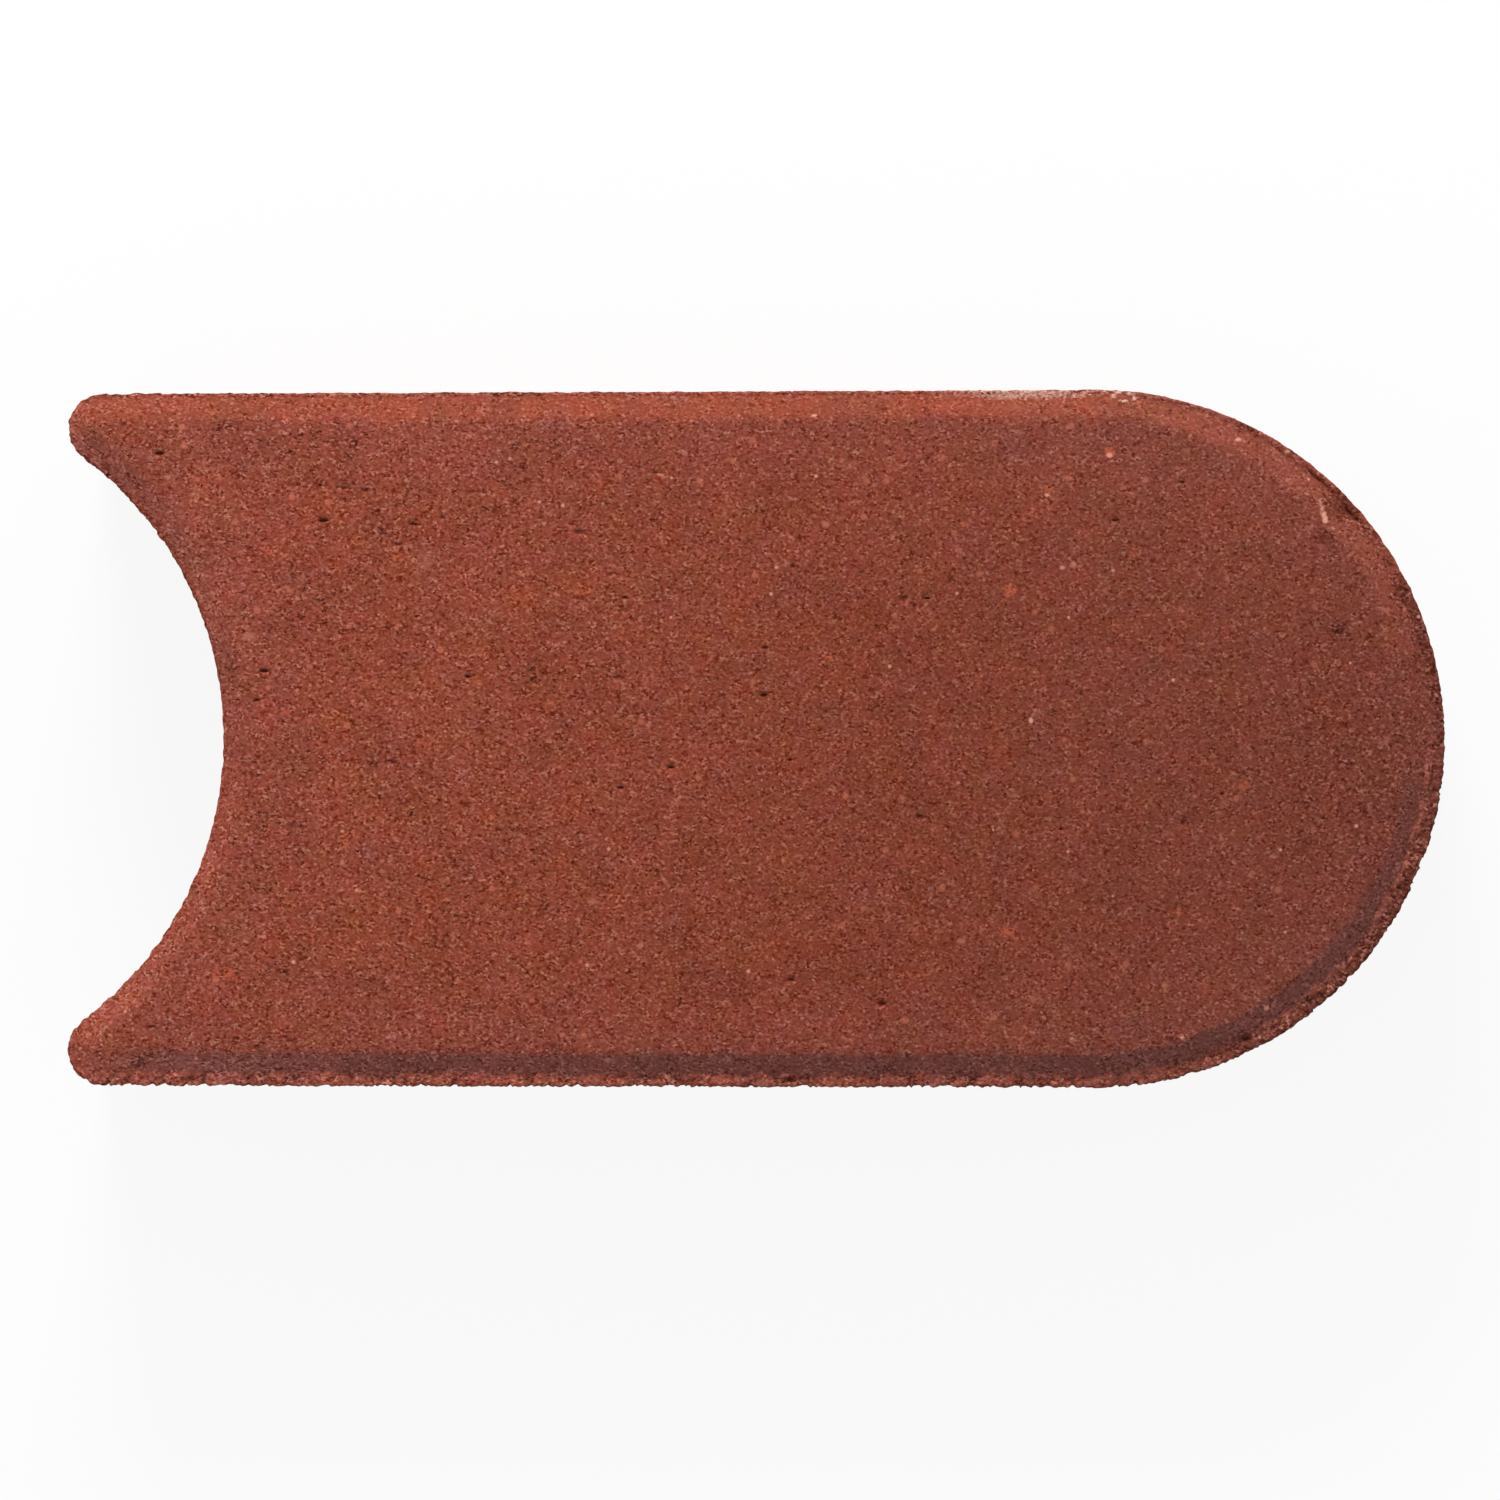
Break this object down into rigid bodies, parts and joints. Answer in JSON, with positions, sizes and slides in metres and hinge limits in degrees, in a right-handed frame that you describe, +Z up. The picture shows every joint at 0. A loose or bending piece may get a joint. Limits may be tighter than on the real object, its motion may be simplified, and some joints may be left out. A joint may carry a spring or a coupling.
{
  "type": "lawn edging stone",
  "caption": "Flat pressed concrete edging stone with a half-round nose at one end and a matching hollow at the other, bevelled all round its top, laid nose to hollow along a lawn.",
  "frame": {"origin": "centre of the bounding box on the bed face, which lies on the ground", "axes": "+X along the length towards the crown of the nose, +Y across the width, +Z up out of the walking face"},
  "size_m": [0.238, 0.12, 0.045],
  "materials": {
    "red_concrete": "matte"
  },
  "bodies": {
    "root": {"edging_stone": "red_concrete"}
  },
  "joints": []
}
